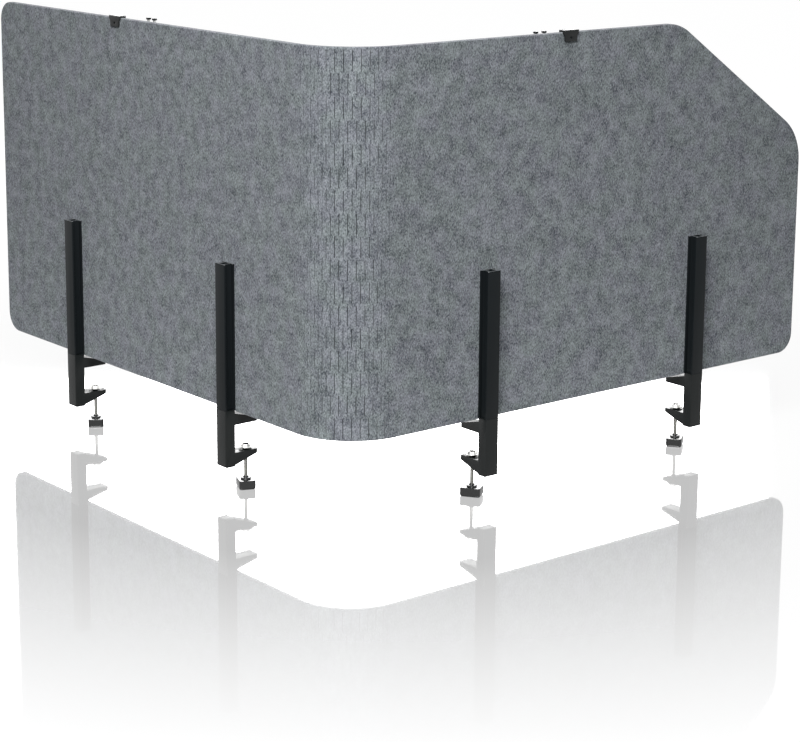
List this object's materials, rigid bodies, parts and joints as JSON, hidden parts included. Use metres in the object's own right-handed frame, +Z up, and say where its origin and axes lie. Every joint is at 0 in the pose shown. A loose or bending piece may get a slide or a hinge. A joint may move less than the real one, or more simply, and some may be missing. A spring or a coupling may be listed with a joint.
{
  "type": "felt desk divider",
  "caption": "Felt desk divider: two felt wings joined by a slit bend that folds, on black posts with screw clamps for a desk edge, with over-the-edge hooks.",
  "frame": {"origin": "centre of the whole object's outline box seen from above, on the plane of the knobs' undersides", "axes": "+X along the right wing, away from the bend; +Y along the left wing, away from the bend, and in towards the desk from the right wing; +Z up"},
  "size_m": [1.0336, 1.0138, 0.7383],
  "materials": {
    "felt": "pressed polyester felt, heathered mid grey, cut edges slightly lighter",
    "anodised_aluminium": "black anodised extrusion, satin",
    "coated_steel": "black powder coat, satin",
    "zinc_steel": "bright zinc plate",
    "black_plastic": "moulded black nylon, glossy on flat tops",
    "black_screw": "black oxide"
  },
  "bodies": {
    "right_wing": {"felt_panel_right": "felt", "post_right_inner": "anodised_aluminium", "clamp_right_inner": "coated_steel", "bush_right_inner": "black_plastic", "fixing_screw_lower_right_inner": "black_screw", "fixing_screw_upper_right_inner": "black_screw", "post_right_outer": "anodised_aluminium", "clamp_right_outer": "coated_steel", "bush_right_outer": "black_plastic", "fixing_screw_lower_right_outer": "black_screw", "fixing_screw_upper_right_outer": "black_screw"},
    "bend_strip_01": {"felt_bend_strip_01": "felt"},
    "bend_strip_02": {"felt_bend_strip_02": "felt"},
    "bend_strip_03": {"felt_bend_strip_03": "felt"},
    "bend_strip_04": {"felt_bend_strip_04": "felt"},
    "bend_strip_05": {"felt_bend_strip_05": "felt"},
    "bend_strip_06": {"felt_bend_strip_06": "felt"},
    "bend_strip_07": {"felt_bend_strip_07": "felt"},
    "bend_strip_08": {"felt_bend_strip_08": "felt"},
    "bend_strip_09": {"felt_bend_strip_09": "felt"},
    "bend_strip_10": {"felt_bend_strip_10": "felt"},
    "bend_strip_11": {"felt_bend_strip_11": "felt"},
    "left_wing": {"felt_panel_left": "felt", "post_left_outer": "anodised_aluminium", "clamp_left_outer": "coated_steel", "bush_left_outer": "black_plastic", "fixing_screw_lower_left_outer": "black_screw", "fixing_screw_upper_left_outer": "black_screw", "post_left_inner": "anodised_aluminium", "clamp_left_inner": "coated_steel", "bush_left_inner": "black_plastic", "fixing_screw_lower_left_inner": "black_screw", "fixing_screw_upper_left_inner": "black_screw"},
    "pad_left_outer": {"pressure_pad_left_outer": "zinc_steel"},
    "screw_left_outer": {"clamp_screw_left_outer": "zinc_steel", "knob_left_outer": "black_plastic"},
    "pad_left_inner": {"pressure_pad_left_inner": "zinc_steel"},
    "screw_left_inner": {"clamp_screw_left_inner": "zinc_steel", "knob_left_inner": "black_plastic"},
    "pad_right_inner": {"pressure_pad_right_inner": "zinc_steel"},
    "screw_right_inner": {"clamp_screw_right_inner": "zinc_steel", "knob_right_inner": "black_plastic"},
    "pad_right_outer": {"pressure_pad_right_outer": "zinc_steel"},
    "screw_right_outer": {"clamp_screw_right_outer": "zinc_steel", "knob_right_outer": "black_plastic"},
    "hook_left": {"hook_clip_left": "black_plastic", "hook_prong_a_left": "zinc_steel", "prong_cap_a_left": "black_plastic", "hook_prong_b_left": "zinc_steel", "prong_cap_b_left": "black_plastic"},
    "hook_right": {"hook_clip_right": "black_plastic", "hook_prong_a_right": "zinc_steel", "prong_cap_a_right": "black_plastic", "hook_prong_b_right": "zinc_steel", "prong_cap_b_right": "black_plastic"}
  },
  "joints": [
    {"name": "fold_01", "type": "hinge", "parent": "right_wing", "child": "bend_strip_01", "pos_m": [-0.40232, -0.48746, 0.435], "axis": [0, 0, 1], "range_deg": [0, 7.5]},
    {"name": "fold_02", "type": "hinge", "parent": "bend_strip_01", "child": "bend_strip_02", "pos_m": [-0.41532, -0.48518, 0.435], "axis": [0, 0, 1], "range_deg": [0, 7.5]},
    {"name": "fold_03", "type": "hinge", "parent": "bend_strip_02", "child": "bend_strip_03", "pos_m": [-0.42794, -0.48132, 0.435], "axis": [0, 0, 1], "range_deg": [0, 7.5]},
    {"name": "fold_04", "type": "hinge", "parent": "bend_strip_03", "child": "bend_strip_04", "pos_m": [-0.44, -0.47596, 0.435], "axis": [0, 0, 1], "range_deg": [0, 7.5]},
    {"name": "fold_05", "type": "hinge", "parent": "bend_strip_04", "child": "bend_strip_05", "pos_m": [-0.45131, -0.46916, 0.435], "axis": [0, 0, 1], "range_deg": [0, 7.5]},
    {"name": "fold_06", "type": "hinge", "parent": "bend_strip_05", "child": "bend_strip_06", "pos_m": [-0.46171, -0.46104, 0.435], "axis": [0, 0, 1], "range_deg": [0, 7.5]},
    {"name": "fold_07", "type": "hinge", "parent": "bend_strip_06", "child": "bend_strip_07", "pos_m": [-0.47104, -0.45171, 0.435], "axis": [0, 0, 1], "range_deg": [0, 7.5]},
    {"name": "fold_08", "type": "hinge", "parent": "bend_strip_07", "child": "bend_strip_08", "pos_m": [-0.47916, -0.44131, 0.435], "axis": [0, 0, 1], "range_deg": [0, 7.5]},
    {"name": "fold_09", "type": "hinge", "parent": "bend_strip_08", "child": "bend_strip_09", "pos_m": [-0.48596, -0.43, 0.435], "axis": [0, 0, 1], "range_deg": [0, 7.5]},
    {"name": "fold_10", "type": "hinge", "parent": "bend_strip_09", "child": "bend_strip_10", "pos_m": [-0.49132, -0.41794, 0.435], "axis": [0, 0, 1], "range_deg": [0, 7.5]},
    {"name": "fold_11", "type": "hinge", "parent": "bend_strip_10", "child": "bend_strip_11", "pos_m": [-0.49518, -0.40532, 0.435], "axis": [0, 0, 1], "range_deg": [0, 7.5]},
    {"name": "fold_12", "type": "hinge", "parent": "bend_strip_11", "child": "left_wing", "pos_m": [-0.49746, -0.39232, 0.435], "axis": [0, 0, 1], "range_deg": [0, 7.5]},
    {"name": "pad_lift_left_outer", "type": "slide", "parent": "left_wing", "child": "pad_left_outer", "axis": [0, 0, 1], "range_m": [0, 0.032]},
    {"name": "knob_turn_left_outer", "type": "hinge", "parent": "pad_left_outer", "child": "screw_left_outer", "pos_m": [-0.46925, 0.2571, 0.04], "axis": [0, 0, 1], "range_deg": [0, 11520]},
    {"name": "pad_lift_left_inner", "type": "slide", "parent": "left_wing", "child": "pad_left_inner", "axis": [0, 0, 1], "range_m": [0, 0.032]},
    {"name": "knob_turn_left_inner", "type": "hinge", "parent": "pad_left_inner", "child": "screw_left_inner", "pos_m": [-0.46925, -0.20358, 0.04], "axis": [0, 0, 1], "range_deg": [0, 11520]},
    {"name": "pad_lift_right_inner", "type": "slide", "parent": "right_wing", "child": "pad_right_inner", "axis": [0, 0, 1], "range_m": [0, 0.032]},
    {"name": "knob_turn_right_inner", "type": "hinge", "parent": "pad_right_inner", "child": "screw_right_inner", "pos_m": [-0.20786, -0.45925, 0.04], "axis": [0, 0, 1], "range_deg": [0, 11520]},
    {"name": "pad_lift_right_outer", "type": "slide", "parent": "right_wing", "child": "pad_right_outer", "axis": [0, 0, 1], "range_m": [0, 0.032]},
    {"name": "knob_turn_right_outer", "type": "hinge", "parent": "pad_right_outer", "child": "screw_right_outer", "pos_m": [0.25701, -0.45925, 0.04], "axis": [0, 0, 1], "range_deg": [0, 11520]},
    {"name": "hook_slide_left", "type": "slide", "parent": "left_wing", "child": "hook_left", "axis": [0, 1, 0], "range_m": [-0.48, 0.31]},
    {"name": "hook_slide_right", "type": "slide", "parent": "right_wing", "child": "hook_right", "axis": [1, 0, 0], "range_m": [-0.32, 0.185]}
  ],
  "couplings": [
    {"joint": "knob_turn_left_outer", "follows": "pad_lift_left_outer", "rad_per_m": 6283.2},
    {"joint": "knob_turn_left_inner", "follows": "pad_lift_left_inner", "rad_per_m": 6283.2},
    {"joint": "knob_turn_right_inner", "follows": "pad_lift_right_inner", "rad_per_m": 6283.2},
    {"joint": "knob_turn_right_outer", "follows": "pad_lift_right_outer", "rad_per_m": 6283.2}
  ]
}
